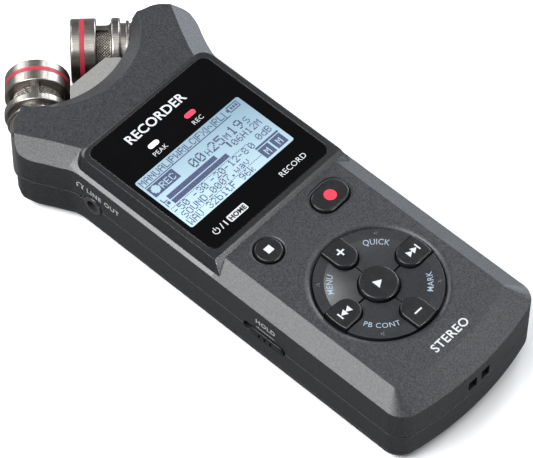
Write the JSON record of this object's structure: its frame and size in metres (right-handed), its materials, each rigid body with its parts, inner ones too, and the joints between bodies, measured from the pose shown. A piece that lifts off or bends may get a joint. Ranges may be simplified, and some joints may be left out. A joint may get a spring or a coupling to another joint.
{
  "type": "portable field recorder",
  "caption": "Pocket stereo sound recorder lying on its back, with a display, a round key pad, side jacks and swivelling microphones between two horns.",
  "frame": {"origin": "centre of the bounding box footprint, on the plane of the back that it rests on", "axes": "+Y along the length towards the microphones, +Z out of the display face, +X to the right seen from the front"},
  "size_m": [0.0656, 0.1583, 0.026],
  "materials": {
    "case_plastic": "fine-grained satin moulding",
    "bridge_plastic": "light grey satin",
    "window_black": "gloss black with a clear display area",
    "lcd_blue": "pale blue backlit display",
    "white_plastic": "plain moulding",
    "light_clear": "clear light pipe",
    "light_red": "lit red light pipe",
    "key_plastic": "satin",
    "tile_plastic": "satin",
    "steel": "plated",
    "screw_steel": "black plated",
    "board_green": "solder mask",
    "jack_black": "gloss",
    "card_plastic": "plain",
    "brass": "turned",
    "cell_wrap": "printed wrap",
    "mic_metal": "satin nickel",
    "mesh_steel": "woven mesh",
    "band_red": "satin red",
    "capsule_black": "felt-backed capsule"
  },
  "bodies": {
    "housing": {"front_cover": "case_plastic", "rear_cover": "case_plastic", "mic_bridge": "bridge_plastic", "display_window": "window_black", "lcd_panel": "lcd_blue", "lcd_holder": "white_plastic", "peak_indicator": "light_clear", "record_indicator": "light_red", "key_switches": "steel", "main_board": "board_green", "hold_switch_base": "white_plastic", "headphone_jack": "jack_black", "mic_input_jack": "jack_black", "usb_port": "steel", "card_slot": "steel", "speaker": "steel", "tripod_insert": "brass", "battery_cells": "cell_wrap", "battery_contacts": "steel", "case_screws": "screw_steel", "pivot_pins": "steel"},
    "mic_left": {"mic_arm_left": "mic_metal", "mic_cage_left": "mic_metal", "mic_mesh_left": "mesh_steel", "mic_rear_ring_left": "mic_metal", "mic_band_left": "band_red", "mic_front_ring_left": "mic_metal", "mic_grille_left": "mesh_steel", "mic_capsule_left": "capsule_black"},
    "mic_right": {"mic_arm_right": "mic_metal", "mic_cage_right": "mic_metal", "mic_mesh_right": "mesh_steel", "mic_rear_ring_right": "mic_metal", "mic_band_right": "band_red", "mic_front_ring_right": "mic_metal", "mic_grille_right": "mesh_steel", "mic_capsule_right": "capsule_black"},
    "home_key": {"home_key": "key_plastic"},
    "record_key": {"record_key": "key_plastic"},
    "play_key": {"play_key": "key_plastic"},
    "forward_key": {"forward_key": "key_plastic"},
    "plus_key": {"plus_key": "key_plastic"},
    "rewind_key": {"rewind_key": "key_plastic"},
    "minus_key": {"minus_key": "key_plastic"},
    "quick_key": {"quick_key": "tile_plastic"},
    "menu_key": {"menu_key": "tile_plastic"},
    "playback_key": {"playback_key": "tile_plastic"},
    "mark_key": {"mark_key": "tile_plastic"},
    "battery_door": {"battery_door": "case_plastic"},
    "hold_switch": {"hold_switch": "key_plastic"},
    "memory_card": {"memory_card": "card_plastic"}
  },
  "joints": [
    {"name": "mic_left_swivel", "type": "hinge", "parent": "housing", "child": "mic_left", "pos_m": [-0.0226, 0.057, 0.0122], "axis": [0, 0, 1], "range_deg": [0, 90]},
    {"name": "mic_right_swivel", "type": "hinge", "parent": "housing", "child": "mic_right", "pos_m": [0.0226, 0.057, 0.0122], "axis": [0, 0, 1], "range_deg": [-90, 0]},
    {"name": "home_key_press", "type": "slide", "parent": "housing", "child": "home_key", "axis": [0, 0, -1], "range_m": [0, 0.0005], "stiffness_N_per_m": 600, "springref_m": -0.0003},
    {"name": "record_key_press", "type": "slide", "parent": "housing", "child": "record_key", "axis": [0, 0, -1], "range_m": [0, 0.0005], "stiffness_N_per_m": 600, "springref_m": -0.0003},
    {"name": "play_key_press", "type": "slide", "parent": "housing", "child": "play_key", "axis": [0, 0, -1], "range_m": [0, 0.0005], "stiffness_N_per_m": 600, "springref_m": -0.0003},
    {"name": "forward_key_press", "type": "slide", "parent": "housing", "child": "forward_key", "axis": [0, 0, -1], "range_m": [0, 0.0005], "stiffness_N_per_m": 600, "springref_m": -0.0003},
    {"name": "plus_key_press", "type": "slide", "parent": "housing", "child": "plus_key", "axis": [0, 0, -1], "range_m": [0, 0.0005], "stiffness_N_per_m": 600, "springref_m": -0.0003},
    {"name": "rewind_key_press", "type": "slide", "parent": "housing", "child": "rewind_key", "axis": [0, 0, -1], "range_m": [0, 0.0005], "stiffness_N_per_m": 600, "springref_m": -0.0003},
    {"name": "minus_key_press", "type": "slide", "parent": "housing", "child": "minus_key", "axis": [0, 0, -1], "range_m": [0, 0.0005], "stiffness_N_per_m": 600, "springref_m": -0.0003},
    {"name": "quick_key_press", "type": "slide", "parent": "housing", "child": "quick_key", "axis": [0, 0, -1], "range_m": [0, 0.0005], "stiffness_N_per_m": 600, "springref_m": -0.0003},
    {"name": "menu_key_press", "type": "slide", "parent": "housing", "child": "menu_key", "axis": [0, 0, -1], "range_m": [0, 0.0005], "stiffness_N_per_m": 600, "springref_m": -0.0003},
    {"name": "playback_key_press", "type": "slide", "parent": "housing", "child": "playback_key", "axis": [0, 0, -1], "range_m": [0, 0.0005], "stiffness_N_per_m": 600, "springref_m": -0.0003},
    {"name": "mark_key_press", "type": "slide", "parent": "housing", "child": "mark_key", "axis": [0, 0, -1], "range_m": [0, 0.0005], "stiffness_N_per_m": 600, "springref_m": -0.0003},
    {"name": "hold_slide", "type": "slide", "parent": "housing", "child": "hold_switch", "axis": [0, 1, 0], "range_m": [0, 0.002]},
    {"name": "battery_door_slide", "type": "slide", "parent": "housing", "child": "battery_door", "axis": [0, -1, 0], "range_m": [0, 0.064]},
    {"name": "memory_card_slide", "type": "slide", "parent": "housing", "child": "memory_card", "axis": [1, 0, 0], "range_m": [0, 0.0175]}
  ]
}
